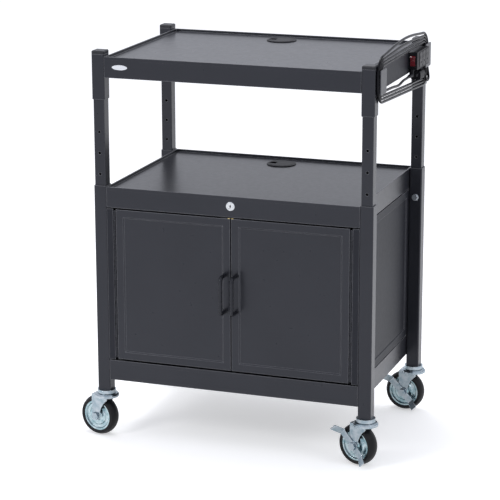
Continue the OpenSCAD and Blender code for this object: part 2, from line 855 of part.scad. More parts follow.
// A smooth path through hand chosen points, with steps points to a stretch;
// the first and the last stretch stay straight
function smooth(p, steps) =
  let (last = len(p) - 1)
  concat([p[0]], [for (i = [1:last - 2]) for (k = [0:steps - 1])
    let (t = k / steps, a = p[i], b = p[i + 1],
         m = (p[i + 1] - p[i - 1]) / 2, n = (p[i + 2] - p[i]) / 2)
    a * (2 * t * t * t - 3 * t * t + 1) + m * (t * t * t - 2 * t * t + t)
      + b * (3 * t * t - 2 * t * t * t) + n * (t * t * t - t * t)],
    [p[last - 1], p[last]]);

lead_start = [cord_x, relief_y - relief_l, relief_z];

// Offsets of the lead from its start, along Y and up
lead_steps = [[0, 0], [-6.2, 0], [-20, -1], [-37, -0.8], [-53, -1.5], [-69, -3.5], [-85, -5.2],
  [-100, -5], [-130, -2.2], [-157, -0.4], [-180, 0.6], [-193, 1.2], [-203, 1.5], [-212, 1.7],
  [-221.1, 2.3], [-228.7, 3.5], [-235.6, 7], [-241.1, 12.5], [-244.6, 19.4]];
lead_path = concat([for (s = lead_steps) lead_start + [0, s[0], s[1]]],
                   [wind_start - [0, 0, 2 * cord_d], wind_start - [0, 0, cord_d]]);

plug_out = 3;
plug_drop = 31;
plug_x = cord_x + plug_out;
plug_z = wind_z - plug_drop;
plug_y = 133;
plug_w = 24;
plug_h = 20;
plug_l = 38;
plug_round = 5;
plug_tail_l = 12;
plug_tail_r = 4.5;
prong_l = 17;
prong_t = 1.5;
prong_w = 6.3;
earth_prong_d = 3.9;

// Offsets of the tail from the end of the winding
tail_steps = [[0, 0, 0], [0, 0, -6.2], [0, 0, -12.6], [0.1, 0, -19], [0.9, 0, -25.4],
  [2.1, 0, -31.8], [3.5, -1.2, -38.1], [5, -4.2, -43.7], [6.2, -8.9, -48], [7, -14.7, -50.7],
  [7.2, -21, -51.4], [7.2, -27.3, -50.2], [7.2, -33, -47.4], [7, -37.8, -43.1],
  [6.4, -41.1, -37.6], [5.5, -44.7, -32.4], [4.5, -49.6, -28.3], [3.7, -55.5, -25.7]];
tail_path = concat([for (s = tail_steps) wind_end - [0, 0, cord_d] + s],
                   [[plug_x, plug_y + plug_tail_l + cord_d, plug_z], [plug_x, plug_y + plug_tail_l, plug_z]]);

module cord_lead() {
  color(cord_grey) tube_path(smooth(lead_path, 2), cord_r, 8);
}

module cord_hank() {
  color(cord_grey) tube_path(hank_path, cord_r, 6);
}

module cord_tail() {
  color(cord_grey) tube_path(smooth(tail_path, 2), cord_r, 8);
}

// Moulded plug with two flat prongs and a round one, its cord at the rear
module cord_plug() {
  color(plastic) translate([plug_x, plug_y, plug_z]) {
    rotate([90, 0, 0]) linear_extrude(plug_l) rounded_rect(plug_w, plug_h, plug_round);
    rotate([-90, 0, 0]) cylinder(h = plug_tail_l, r1 = plug_tail_r + cord_r / 2, r2 = plug_tail_r);
    translate([0, -plug_l, 0]) rotate([90, 0, 0]) linear_extrude(prong_l) {
      for (s = [-1, 1]) translate([s * blade_apart / 2, blade_rise - prong_t])
        square([prong_t, prong_w], center = true);
      translate([0, blade_rise - prong_t - earth_drop + prong_t]) circle(d = earth_prong_d);
    }
  }
}

// Casters, drawn with the swivel axis on z and the wheel towards +X
stem_d = 12;
stem_head_d = 18;
crown_t = 3;
crown_slope = 8;
crown_top_r = crown_d / 2 - crown_slope;
plug_rise = 40;
tyre_room = 2;
fork_in = tyre_w / 2 + tyre_room;
fork_out = fork_in + fork_t;
fork_boss = 11;
fork_front = trail + fork_boss;
fork_rear = 12;
fork_curve = 55;
fork_lap = 5;
fork_top_z = crown_foot_z + fork_lap;
bridge_room = 12;
hub_r = 9;
hub_w = 33;
rim_r = wheel_r - tyre_t;
rim_w = 27;
disc_w = 25;
web_w = 19;
hub_slope = 4;
disc_step = 13;
web_step = 16;
rim_web = 7;
rim_edge = 4;
head_af = 17;
head_h = 6;
tyre_seat = 0.1;

function caster_at(i) = [i % 2 == 0 ? -leg_x : leg_x, i < 2 ? -leg_y : leg_y, 0];

swivels = [swivel_fl, swivel_fr, swivel_rl, swivel_rr];

module on_caster(i) {
  translate(caster_at(i)) rotate([0, 0, swivels[i]]) children();
}

// Turns a shape drawn round z so that it lies round the axle
module on_axle() {
  translate([trail, 0, wheel_r]) rotate([-90, 0, 0]) children();
}

module caster_sockets() {
  plug = tube_bore - slip;
  head_foot = crown_top_z - crown_t - slip - crown_skirt + slip;
  color(zinc) for (i = [0:3]) translate(caster_at(i)) {
    translate([0, 0, race_foot_z]) cylinder(h = race_h, d = race_d);
    translate([0, 0, leg_foot_z]) linear_extrude(plug_rise) rounded_rect(plug, plug, bore_round);
    translate([0, 0, head_foot]) cylinder(h = leg_foot_z - head_foot, d = stem_d);
    translate([0, 0, head_foot]) cylinder(h = crown_top_z - crown_t - slip - head_foot, d = stem_head_d);
  }
}

module fork_side() {
  difference() {
    union() {
      difference() {
        translate([-fork_rear, wheel_r]) square([fork_rear + fork_front, fork_top_z - wheel_r]);
        translate([trail - fork_boss - fork_curve, wheel_r]) circle(fork_curve, $fn = 96);
      }
      translate([trail, wheel_r]) circle(fork_boss);
    }
    translate([trail, wheel_r]) circle(d = axle_d + 2 * hole_fit);
  }
}

module caster_fork(i) {
  crown_r = crown_d / 2;
  bore = stem_d / 2 + run_fit;
  color(zinc) on_caster(i) {
    rotate_extrude() polygon([[bore, crown_top_z], [crown_top_r, crown_top_z],
      [crown_r - crown_t, crown_top_z - crown_t / 2], [crown_r, crown_foot_z + crown_skirt],
      [crown_r, crown_foot_z], [crown_r - crown_t, crown_foot_z],
      [crown_r - crown_t, crown_foot_z + crown_skirt - crown_t / 2],
      [crown_top_r - crown_t / 2, crown_top_z - crown_t], [bore, crown_top_z - crown_t]]);
    for (v = [-fork_out, fork_in])
      translate([0, v + fork_t, 0]) rotate([90, 0, 0]) linear_extrude(fork_t) fork_side();
    difference() {
      span([0, -fork_out, fork_top_z - fork_t], [fork_front, fork_out, fork_top_z]);
      translate([0, 0, fork_top_z - 2 * fork_t]) cylinder(h = 3 * fork_t, r = bridge_room);
    }
  }
}

// Axle bolt: head on one fork side and nut on the other, past the brake if any
module caster_axle(i, nut_out) {
  color(zinc) on_caster(i) on_axle() {
    translate([0, 0, -fork_out]) cylinder(h = fork_out + nut_out, d = axle_d);
    translate([0, 0, -fork_out - head_h]) cylinder(h = head_h, d = head_af / cos(30), $fn = 6);
    translate([0, 0, nut_out]) cylinder(h = head_h, d = head_af / cos(30), $fn = 6);
  }
}

module caster_rim(i) {
  bore = axle_d / 2 + run_fit;
  side = [[bore, hub_w / 2], [hub_r, hub_w / 2], [hub_r + hub_slope, disc_w / 2],
          [hub_r + disc_step, disc_w / 2], [hub_r + web_step, web_w / 2],
          [rim_r - rim_web, web_w / 2], [rim_r - rim_edge, rim_w / 2], [rim_r, rim_w / 2]];
  color(plastic) on_caster(i) on_axle() rotate_extrude()
    polygon(concat(side, [for (k = [len(side) - 1:-1:0]) [side[k][0], -side[k][1]]]));
}

module caster_tyre(i) {
  color(rubber) on_caster(i) on_axle() rotate_extrude(convexity = 4) intersection() {
    translate([wheel_r - tread_r, 0]) circle(tread_r, $fn = 96);
    translate([rim_r + tyre_seat, -tyre_w / 2]) square([tyre_t + over, tyre_w]);
  }
}

// Brake lever beside the wheel: a hub on the axle, an arm, and a pedal at each end
brake_angle = 45;
lever_hub_r = 12;
lever_w = 16;
lever_t = 2.5;
lever_tail = 33;
pedal_w = 18;
pedal_l = 30;
pedal_angle = 50;
heel_l = 24;
heel_angle = 35;
lever_in = fork_out + slip;
brake_nut = lever_in + lever_t + slip;

module brake_lever(i) {
  color(zinc) on_caster(i) translate([trail, lever_in, wheel_r]) rotate([0, -brake_angle, 0]) {
    difference() {
      union() {
        rotate([-90, 0, 0]) cylinder(h = lever_t, r = lever_hub_r);
        span([-lever_tail, 0, -lever_w / 2], [pedal_reach, lever_t, lever_w / 2]);
      }
      rotate([-90, 0, 0]) translate([0, 0, -over])
        cylinder(h = lever_t + 2 * over, d = axle_d + 2 * run_fit);
    }
    translate([pedal_reach - lever_t / 2, 0, -pedal_w / 2]) rotate([0, 0, pedal_angle])
      cube([pedal_l, lever_t, pedal_w]);
    translate([-lever_tail + lever_t / 2, 0, -lever_w / 2]) mirror([1, 0, 0]) rotate([0, 0, heel_angle])
      cube([heel_l, lever_t, lever_w]);
  }
}

module leg_front_left() { leg(-1, -1); }

module leg_front_right() { leg(1, -1); }

module leg_rear_left() { leg(-1, 1); }

module leg_rear_right() { leg(1, 1); }

module side_panel_left() { side_panel(-1); }

module side_panel_right() { side_panel(1); }

module door_left() { door(-1); }

module door_right() { door(1); }

module handle_left() { handle(-1); }

module handle_right() { handle(1); }

module strike_left() { strike(-1); }

module strike_right() { strike(1); }

module grommet_middle() { grommet(middle_z); }

module grommet_cap_middle() { grommet_cap(middle_z); }

module grommet_top() { grommet(top_z); }

module grommet_cap_top() { grommet_cap(top_z); }

module caster_fork_front_left() { caster_fork(0); }

module caster_fork_front_right() { caster_fork(1); }

module caster_fork_rear_left() { caster_fork(2); }

module caster_fork_rear_right() { caster_fork(3); }

module caster_axle_front_left() { caster_axle(0, fork_out); }

module caster_axle_front_right() { caster_axle(1, brake_nut); }

module caster_axle_rear_left() { caster_axle(2, fork_out); }

module caster_axle_rear_right() { caster_axle(3, brake_nut); }

module caster_rim_front_left() { caster_rim(0); }

module caster_rim_front_right() { caster_rim(1); }

module caster_rim_rear_left() { caster_rim(2); }

module caster_rim_rear_right() { caster_rim(3); }

module caster_tyre_front_left() { caster_tyre(0); }

module caster_tyre_front_right() { caster_tyre(1); }

module caster_tyre_rear_left() { caster_tyre(2); }

module caster_tyre_rear_right() { caster_tyre(3); }

module brake_lever_front_right() { brake_lever(1); }

module brake_lever_rear_right() { brake_lever(3); }

leg_front_left();
leg_front_right();
leg_rear_left();
leg_rear_right();
shelf_bottom();
shelf_middle();
shelf_top();
side_panel_left();
side_panel_right();
back_panel();
risers();
top_posts();
post_caps();
height_bolts();
door_left();
door_right();
hinge_leaves_frame();
hinge_leaf_door_left();
hinge_leaf_door_right();
hinge_pins();
handle_left();
handle_right();
lock_barrel();
lock_plug();
lock_cam();
strike_left();
strike_right();
grommet_middle();
grommet_cap_middle();
grommet_top();
grommet_cap_top();
power_channel();
outlet_box();
receptacles();
rocker_switch();
cord_relief();
cord_hooks();
cord_lead();
cord_hank();
cord_tail();
cord_plug();
caster_sockets();
caster_fork_front_left();
caster_fork_front_right();
caster_fork_rear_left();
caster_fork_rear_right();
caster_axle_front_left();
caster_axle_front_right();
caster_axle_rear_left();
caster_axle_rear_right();
caster_rim_front_left();
caster_rim_front_right();
caster_rim_rear_left();
caster_rim_rear_right();
caster_tyre_front_left();
caster_tyre_front_right();
caster_tyre_rear_left();
caster_tyre_rear_right();
brake_lever_front_right();
brake_lever_rear_right();
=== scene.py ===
"""Looks of a rolling projector cart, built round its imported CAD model.

Run as a script: it adds the mains cord and the blank badge, gives every piece
its finish, and sets up a plain white studio with the photograph's camera.
Lengths are in metres unless a name or comment says millimetres.
"""

import math

import bpy
import numpy as np
from bpy.props import FloatProperty, FloatVectorProperty, IntProperty, PointerProperty
from mathutils import Matrix, Vector


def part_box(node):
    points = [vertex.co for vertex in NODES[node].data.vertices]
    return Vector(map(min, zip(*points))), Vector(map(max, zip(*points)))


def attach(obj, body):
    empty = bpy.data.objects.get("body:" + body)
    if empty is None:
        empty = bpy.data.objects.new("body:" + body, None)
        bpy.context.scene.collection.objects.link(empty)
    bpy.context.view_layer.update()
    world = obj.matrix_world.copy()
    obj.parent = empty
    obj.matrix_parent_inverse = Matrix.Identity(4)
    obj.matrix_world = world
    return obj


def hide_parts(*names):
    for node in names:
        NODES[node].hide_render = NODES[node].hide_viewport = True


bl_info = {
    "name": "Projector cart looks",
    "version": (1, 0, 0),
    "blender": (4, 5, 0),
    "location": "View3D > Sidebar > Cart",
    "description": "Finishes, mains cord, badge and studio of a rolling projector cart",
    "category": "Object",
}

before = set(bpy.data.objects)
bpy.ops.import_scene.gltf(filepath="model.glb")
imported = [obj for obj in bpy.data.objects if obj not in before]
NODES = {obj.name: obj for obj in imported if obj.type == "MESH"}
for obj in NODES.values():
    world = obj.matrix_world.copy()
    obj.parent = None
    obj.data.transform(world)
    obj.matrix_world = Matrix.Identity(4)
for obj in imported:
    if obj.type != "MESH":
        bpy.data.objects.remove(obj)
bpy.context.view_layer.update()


def linear(code):
    """An sRGB hex colour as linear red, green and blue."""
    values = [int(code[i:i + 2], 16) / 255 for i in (1, 3, 5)]
    return tuple(v / 12.92 if v <= 0.04045 else ((v + 0.055) / 1.055) ** 2.4 for v in values)


SIDES = ("front_left", "front_right", "rear_left", "rear_right")
MM = 0.001

# Colours that several finishes share
WHITE = (1.0, 1.0, 1.0)
BLUE_GLOSS = (0.90, 0.92, 1.0)    # gloss of the charcoal powder, and light of the room
PAINTED_METAL_GLINT = linear("#f2f6f8")    # painted highlight on plated edges
EDGE_HIGHLIGHT_GAIN = 24.0    # painted highlight: how much brighter an edge is than the coat beside it

# Scale of each pattern: how many of its marks there are in a metre
CLOUDS = 7.0    # slow clouds in a coat's colour, 140 mm apart
GLOSS_AND_HIGHLIGHT_PATCHES = 90.0    # patches of handling gloss and of the painted edge highlight, 11 mm apart
POLISH = 900.0    # polishing marks under a plating, 1.1 mm apart
BRUSHING = 500.0    # marks on the lock's plug, 2 mm apart
SPECKLE = 600.0    # specks of the strikes' yellow zinc, 1.7 mm apart
FLOOR_CLOUDS = 3.0    # clouds in the paper, 330 mm apart

# How a coat's or a plating's edge is told from its faces: the cosine between
# the rounded and the flat normal, where all is edge and where all is face
EDGE_LEAN = (0.86, 0.995)
EDGE_SAMPLES = 6
GLOSS_SWING = (-0.04, 0.05)    # how far a coat's roughness strays either way

KEYWAY_SHADE = (0.0034, 0.0062)    # width and height of the painted shade that stands for the lock's keyway
BARE = 0.0075    # half the length of bare metal on the strikes
BARE_FADE = 0.001    # length over which the coat thins out there


# ---- nodes

def rgba(colour):
    """A colour with full opacity."""
    return (*tuple(colour)[:3], 1.0)


def shade(colour, factor):
    """A colour made darker or lighter by a factor."""
    return tuple(min(1.0, c * factor) for c in tuple(colour)[:3])


def add(tree, kind, inputs=None, stops=(), **settings):
    """Adds a node: settings are its own, inputs are values or (node, socket)
    links, and stops are the two places and colours of a colour ramp."""
    node = tree.nodes.new(kind)
    for key, value in settings.items():
        setattr(node, key, value)
    for key, value in (inputs or {}).items():
        if isinstance(value, tuple) and isinstance(value[0], bpy.types.Node):
            tree.links.new(value[0].outputs[value[1]], node.inputs[key])
        else:
            node.inputs[key].default_value = value
    if stops:
        for element, (place, colour) in zip(node.color_ramp.elements, stops):
            element.position, element.color = place, rgba(colour)
    return node


def new_material(name):
    """An empty material and its node tree."""
    material = bpy.data.materials.new(name)
    material.use_nodes = True
    material.node_tree.nodes.clear()
    return material, material.node_tree


def highlight_edge_mask(tree, radius):
    """1 along rounded edges, 0 on flat faces: how far the bevelled normal
    leans from the face's own. It marks where a highlight is painted on edges."""
    rounded = add(tree, "ShaderNodeBevel", {"Radius": radius}, samples=EDGE_SAMPLES)
    flat = add(tree, "ShaderNodeNewGeometry")
    lean = add(tree, "ShaderNodeVectorMath", {0: (rounded, 0), 1: (flat, "True Normal")},
               operation="DOT_PRODUCT")
    edge = add(tree, "ShaderNodeMapRange", {
        "Value": (lean, "Value"), "From Min": EDGE_LEAN[0], "From Max": EDGE_LEAN[1],
        "To Min": 1.0, "To Max": 0.0})
    return rounded, edge


# ---- finishes

def coated(name, colour, roughness, peel_mm, peel_height_mm, edge_mm, edge_highlight, specular=0.5,
           gloss_tint=WHITE):
    """A baked or moulded surface: orange peel or grain peel_mm from crest to
    crest, a gloss that is a little uneven, and a painted highlight that makes
    its edges paler over edge_mm, as strong as the argument after edge_mm says."""
    material, tree = new_material(name)
    place = add(tree, "ShaderNodeTexCoord")
    clouds = add(tree, "ShaderNodeTexNoise", {
        "Vector": (place, "Object"), "Scale": CLOUDS, "Detail": 4.0})
    body = add(tree, "ShaderNodeValToRGB", {"Fac": (clouds, "Fac")},
               stops=[(0.3, shade(colour, 0.9)), (0.7, shade(colour, 1.1))])
    rounded, edge = highlight_edge_mask(tree, edge_mm * MM)
    gloss_and_highlight_patch = add(tree, "ShaderNodeTexNoise", {
        "Vector": (place, "Object"), "Scale": GLOSS_AND_HIGHLIGHT_PATCHES, "Detail": 3.0})
    highlight_strength = add(tree, "ShaderNodeMapRange", {
        "Value": (gloss_and_highlight_patch, "Fac"), "To Min": 0.3 * edge_highlight, "To Max": 0.7 * edge_highlight})
    highlight_share = add(tree, "ShaderNodeMath", {0: (edge, "Result"), 1: (highlight_strength, "Result")},
                 operation="MULTIPLY")
    # Painted highlight on the edges: grey with a breath of blue, from the coat's mean colour
    highlight_grey = sum(tuple(colour)[:3]) / 3 * EDGE_HIGHLIGHT_GAIN
    tone = add(tree, "ShaderNodeMix", {
        "Factor": (highlight_share, 0), "A": (body, "Color"), "B": rgba((highlight_grey, highlight_grey, highlight_grey * 1.06))},
        data_type="RGBA")
    gloss = add(tree, "ShaderNodeMapRange", {
        "Value": (gloss_and_highlight_patch, "Fac"), "To Min": roughness + GLOSS_SWING[0],
        "To Max": roughness + GLOSS_SWING[1]})
    peel = add(tree, "ShaderNodeTexNoise", {
        "Vector": (place, "Object"), "Scale": 1 / (peel_mm * MM), "Detail": 2.0})
    bump = add(tree, "ShaderNodeBump", {
        "Height": (peel, "Fac"), "Strength": 0.5, "Distance": peel_height_mm * MM,
        "Normal": (rounded, 0)})
    surface = add(tree, "ShaderNodeBsdfPrincipled", {
        "Base Color": (tone, "Result"), "Roughness": (gloss, "Result"), "Normal": (bump, 0),
        "Specular IOR Level": specular, "Specular Tint": rgba(gloss_tint)})
    add(tree, "ShaderNodeOutputMaterial", {"Surface": (surface, 0)})
    return material


def plated(name, colour, tint, roughness, blotch_mm, edge_mm=0.8):
    """A plated metal: a bright coat with faint blotches of its passivation
    blotch_mm apart, a slightly uneven polish, and a painted highlight along its edges."""
    material, tree = new_material(name)
    place = add(tree, "ShaderNodeTexCoord")
    blotch = add(tree, "ShaderNodeTexNoise", {
        "Vector": (place, "Object"), "Scale": 1 / (blotch_mm * MM), "Detail": 3.0})
    tone = add(tree, "ShaderNodeValToRGB", {"Fac": (blotch, "Fac")},
               stops=[(0.35, colour), (0.65, tint)])
    gloss = add(tree, "ShaderNodeMapRange", {
        "Value": (blotch, "Fac"), "To Min": roughness * 0.8, "To Max": roughness * 1.3})
    rounded, edge = highlight_edge_mask(tree, edge_mm * MM)
    fine = add(tree, "ShaderNodeTexNoise", {"Vector": (place, "Object"), "Scale": POLISH})
    bump = add(tree, "ShaderNodeBump", {
        "Height": (fine, "Fac"), "Strength": 0.15, "Distance": 0.1 * MM,
        "Normal": (rounded, 0)})
    # Painted highlight: along the edges the colour turns to a pale glint
    lit = add(tree, "ShaderNodeMix", {
        "Factor": (edge, "Result"), "A": (tone, "Color"), "B": rgba(PAINTED_METAL_GLINT)},
        data_type="RGBA")
    surface = add(tree, "ShaderNodeBsdfPrincipled", {
        "Base Color": (lit, "Result"), "Metallic": 1.0, "Roughness": (gloss, "Result"),
        "Normal": (bump, 0)})
    add(tree, "ShaderNodeOutputMaterial", {"Surface": (surface, 0)})
    return material


def jacket(name, colour, roughness):
    """Soft PVC drawn over the wires: the UV runs along the cord, so faint
    draw lines follow it and slow clouds of handling gloss cross it. The lines
    are drawn coarser than real ones, so that they show."""
    material, tree = new_material(name)
    place = add(tree, "ShaderNodeUVMap", uv_map="along")
    along = add(tree, "ShaderNodeMapping", {"Vector": (place, "UV"), "Scale": (1.0, 40.0, 1.0)})
    lines = add(tree, "ShaderNodeTexNoise", {
        "Vector": (along, 0), "Scale": 2.0, "Detail": 3.0})
    clouds = add(tree, "ShaderNodeTexNoise", {"Vector": (place, "UV"), "Scale": 8.0})
    tone = add(tree, "ShaderNodeValToRGB", {"Fac": (clouds, "Fac")},
               stops=[(0.3, shade(colour, 0.8)), (0.7, shade(colour, 1.25))])
    gloss = add(tree, "ShaderNodeMapRange", {
        "Value": (clouds, "Fac"), "To Min": roughness - 0.05, "To Max": roughness + 0.07})
    bump = add(tree, "ShaderNodeBump", {
        "Height": (lines, "Fac"), "Strength": 0.2, "Distance": 0.15 * MM})
    surface = add(tree, "ShaderNodeBsdfPrincipled", {
        "Base Color": (tone, "Color"), "Roughness": (gloss, "Result"), "Normal": (bump, 0),
        "Specular IOR Level": 0.09})
    add(tree, "ShaderNodeOutputMaterial", {"Surface": (surface, 0)})
    return material


def dress(material, *names):
    """Gives CAD nodes a finish in place of their flat CAD colour."""
    for name in names:
        mesh = NODES[name].data
        mesh.materials.clear()
        mesh.materials.append(material)


# ---- sizes and colours that a user would change

class CartFinishes(bpy.types.PropertyGroup):
    """Colours and gloss of the cart's finishes"""
    coat: FloatVectorProperty(
        name="Powder coat", description="Charcoal satin coat of the sheet steel",
        default=linear("#212227"), subtype="COLOR", min=0, max=1)
    coat_roughness: FloatProperty(
        name="Coat roughness", description="Satin gloss of the coat", default=0.29,
        subtype="FACTOR", min=0.05, max=1)
    moulding: FloatVectorProperty(
        name="Black plastic", description="Moulded grommets, outlet box and plug",
        default=linear("#121216"), subtype="COLOR", min=0, max=1)
    rubber: FloatVectorProperty(
        name="Tyre rubber", description="Soft black tread of the wheels",
        default=linear("#141416"), subtype="COLOR", min=0, max=1)
    zinc: FloatVectorProperty(
        name="Zinc plate", description="Clear passivated zinc of the casters",
        default=linear("#a7b0b6"), subtype="COLOR", min=0, max=1)
    rocker: FloatVectorProperty(
        name="Rocker red", description="Red moulding of the mains switch",
        default=linear("#64161f"), subtype="COLOR", min=0, max=1)
    cord: FloatVectorProperty(
        name="Cord jacket", description="Charcoal PVC of the mains cord",
        default=linear("#141418"), subtype="COLOR", min=0, max=1)


class CartCord(bpy.types.PropertyGroup):
    """Size of the mains cord and fineness of its mesh"""
    diameter: FloatProperty(
        name="Diameter", description="Outside diameter of the jacket", default=0.0062,
        unit="LENGTH", precision=4)
    spacing: FloatProperty(
        name="Ring spacing", description="Distance between the rings of its mesh",
        default=0.0035, unit="LENGTH", precision=4)
    sides: IntProperty(
        name="Sides", description="Points round the cord", default=16, min=6, max=48)


class CartStage(bpy.types.PropertyGroup):
    """View and light of the studio"""
    lens: FloatProperty(
        name="Lens", description="Focal length on a 36 mm sensor", default=149.3,
        unit="CAMERA")
    yaw: FloatProperty(
        name="Yaw", description="Turn of the view to the left",
        default=math.radians(19.51), unit="ROTATION")
    pitch: FloatProperty(
        name="Pitch", description="Tilt of the view downwards",
        default=math.radians(14.76), unit="ROTATION")
    key: FloatProperty(
        name="Key light", description="Power of the lamp in front", default=22.0,
        unit="POWER")
    fill: FloatProperty(
        name="Fill light", description="Power of the lamp at the right", default=10.0,
        unit="POWER")
    top: FloatProperty(
        name="Top light", description="Power of the lamp above", default=40.0,
        unit="POWER")
    sky: FloatProperty(
        name="Room light", description="Strength of the white room", default=0.74, min=0)


# ---- surfaces

def mesh_grid(name, points, closed=True, uv=None):
    """A piece from a grid of points, rows along its length and columns round
    it. Quads join neighbours. On a closed grid the last column joins the
    first, and one face of its own closes each end row."""
    rows, columns = points.shape[:2]
    index = np.arange(rows * columns).reshape(rows, columns)
    here = index if closed else index[:, :-1]
    beside = np.roll(index, -1, axis=1) if closed else index[:, 1:]
    quads = np.stack([here[:-1], beside[:-1], beside[1:], here[1:]], axis=-1)
    faces = quads.reshape(-1, 4).tolist()
    if closed:
        faces += [index[0][::-1].tolist(), index[-1].tolist()]
    mesh = bpy.data.meshes.new(name)
    mesh.from_pydata(points.reshape(-1, 3).tolist(), [], faces)
    if uv is not None:
        layer = mesh.uv_layers.new(name="along")
        loops = np.empty(len(mesh.loops), int)
        mesh.loops.foreach_get("vertex_index", loops)
        layer.data.foreach_set("uv", uv.reshape(-1, 2)[loops].ravel())
    mesh.shade_smooth()
    mesh.update()
    piece = bpy.data.objects.new(name, mesh)
    bpy.context.scene.collection.objects.link(piece)
    return piece


def gone_by(path):
    """The length from a path's start to each of its points."""
    return np.concatenate([[0], np.cumsum(np.linalg.norm(np.diff(path, axis=0), axis=1))])


def resample(path, step):
    """The same line with points at equal distances along it, near step apart."""
    gone = gone_by(path)
    wanted = np.linspace(0, gone[-1], int(round(gone[-1] / step)) + 1)
    return np.stack([np.interp(wanted, gone, path[:, k]) for k in range(3)], axis=1)


def relax(path, passes):
    """Each inner point moves to half of itself and a quarter of each of its
    neighbours; the two points at each end stay."""
    for _ in range(passes):
        middle = (path[1:-3] + 2 * path[2:-2] + path[3:-1]) / 4
        path = np.concatenate([path[:2], middle, path[-2:]])
    return path


def through(points, steps):
    """A smooth line through points: the cubic whose slope at each point is
    half the way from the point before it to the point after it."""
    p = np.asarray(points, float)
    a, b = p[1:-2], p[2:-1]
    m, n = (p[2:-1] - p[:-3]) / 2, (p[3:] - p[1:-2]) / 2
    t = (np.arange(steps) / steps)[None, :, None]
    a, b, m, n = (v[:, None, :] for v in (a, b, m, n))
    inner = (a * (2 * t**3 - 3 * t**2 + 1) + m * (t**3 - 2 * t**2 + t)
             + b * (3 * t**2 - 2 * t**3) + n * (t**3 - t**2)).reshape(-1, 3)
    return np.concatenate([p[:1], inner, p[-2:]])


def tube(name, path, radius, sides):
    """A round tube: at each point of the path a circle square to its slope,
    drawn from the sideways direction of the cart. Its UV has decimetres along
    the path and turns round it."""
    slope = np.gradient(path, axis=0)
    slope /= np.linalg.norm(slope, axis=1, keepdims=True)
    side = np.array([1.0, 0, 0]) - slope * slope[:, :1]
    side /= np.linalg.norm(side, axis=1, keepdims=True)
    up = np.cross(slope, side)
    turn = np.linspace(0, 2 * math.pi, sides, endpoint=False)[None, :, None]
    points = path[:, None] + radius * (
        np.cos(turn) * side[:, None] + np.sin(turn) * up[:, None])
    decimetres = gone_by(path)[:, None] * 10
    uv = np.stack(np.broadcast_arrays(decimetres, turn[0, :, 0][None] / (2 * math.pi)), -1)
    return mesh_grid(name, points, uv=uv)


# ---- the mains cord

# Its route in millimetres, as in the part's source
CORD_X = 351.0
WIND_Y, WIND_Z = -6.6, 914.5
WIND_HALF_L, WIND_TOP_H, WIND_FOOT_H = 195.5, 36.3, 36.0
WIND_PITCH, WIND_FOOT_PITCH, WIND_FOOT_LEAN = 6.9, 7.4, 0.06
WIND_SAG, WIND_CORNER, WIND_TURNS, WIND_START_SHARE = 16.0, 19.0, 3.5, 0.65
STUB = 6.2    # straight step at the lead's end, the tail's start and the plug
LEAD_START = (CORD_X, 44.0, 889.5)
LEAD_STEPS = (
    (0, 0), (-6.2, 0), (-20, -1), (-37, -0.8), (-53, -1.5), (-69, -3.5), (-85, -5.2),
    (-100, -5), (-130, -2.2), (-157, -0.4), (-180, 0.6), (-193, 1.2), (-203, 1.5),
    (-212, 1.7), (-221.1, 2.3), (-228.7, 3.5), (-235.6, 7), (-241.1, 12.5),
    (-244.6, 19.4))
TAIL_STEPS = (
    (0, 0, 0), (0, 0, -6.2), (0, 0, -12.6), (0.1, 0, -19), (0.9, 0, -25.4),
    (2.1, 0, -31.8), (3.5, -1.2, -38.1), (5, -4.2, -43.7), (6.2, -8.9, -48),
    (7, -14.7, -50.7), (7.2, -21, -51.4), (7.2, -27.3, -50.2), (7.2, -33, -47.4),
    (7, -37.8, -43.1), (6.4, -41.1, -37.6), (5.5, -44.7, -32.4), (4.5, -49.6, -28.3),
    (3.7, -55.5, -25.7))
PLUG_BACK = (354.0, 145.0, 883.5)

# The winding is counted in rings, as many to each quarter of a turn
QUARTER = 6
TURN = 4 * QUARTER
LAST_RING = TURN * WIND_TURNS - 1e-6    # a hair short of the end, in its own quarter
# What a quarter does at its rings: up the end, round the corner, along the run
END_RINGS, END_SHARES = (0, 0.5), (0, 1)
CORNER_RINGS, CORNER_ANGLES = (0.5, 1, 2, 3, 3.5), (0, 15, 45, 75, 90)
RUN_RINGS, RUN_SHARES = (3.5, 4, 5, QUARTER), (1, 0.67, 0.33, 0)
# The rings where the line is worked out, closest together round the corner
STATIONS = np.concatenate([
    [0.0, 0.25], np.linspace(0.5, 3.5, 19), np.linspace(3.5, QUARTER, 13)[1:-1]])
LEAD_RING = 0.9    # the winding's first rings give way to the lead's end
CURVE_STEPS = 6    # points on the cubic between two of the route's points
SAME_POINT = 1e-4    # millimetres between points that are one


def winding(ring):
    """Points of the winding at ring numbers: a rectangle with round corners
    that grows by one pitch a turn. A quarter turn goes up the straight end,
    round the corner by its angle, and along the run to its middle, and every
    other quarter goes back that way. The foot leans and spreads, and the top
    arches by the square of one less the square of the place along it."""
    turn = ring / TURN
    quarter = np.floor(ring / QUARTER).astype(int) % 4
    k = ring - QUARTER * np.floor(ring / QUARTER)
    j = np.where(quarter % 2 == 0, k, QUARTER - k)
    angle = np.radians(np.interp(j, CORNER_RINGS, CORNER_ANGLES))
    run = np.interp(j, RUN_RINGS, RUN_SHARES)
    end = np.interp(j, END_RINGS, END_SHARES)
    grown = WIND_PITCH * turn
    corner, half_l = WIND_CORNER + grown, WIND_HALF_L + grown
    along = (half_l - corner) * run + corner * np.cos(angle)
    y = WIND_Y + np.where((quarter == 0) | (quarter == 3), -along, along)
    reach = np.maximum(1 - ((y - WIND_Y) / half_l) ** 2, 0)
    arch = WIND_SAG * (turn / WIND_TURNS) ** 2 * reach ** 2
    upper = quarter < 2
    half_h = np.where(upper, WIND_TOP_H + grown,
                      WIND_FOOT_H + WIND_FOOT_LEAN * y + WIND_FOOT_PITCH * turn)
    rise = (half_h - corner) * end + corner * np.sin(angle)
    z = WIND_Z + np.where(upper, rise + arch, -rise)
    return np.stack([np.full_like(y, CORD_X), y, z], 1)


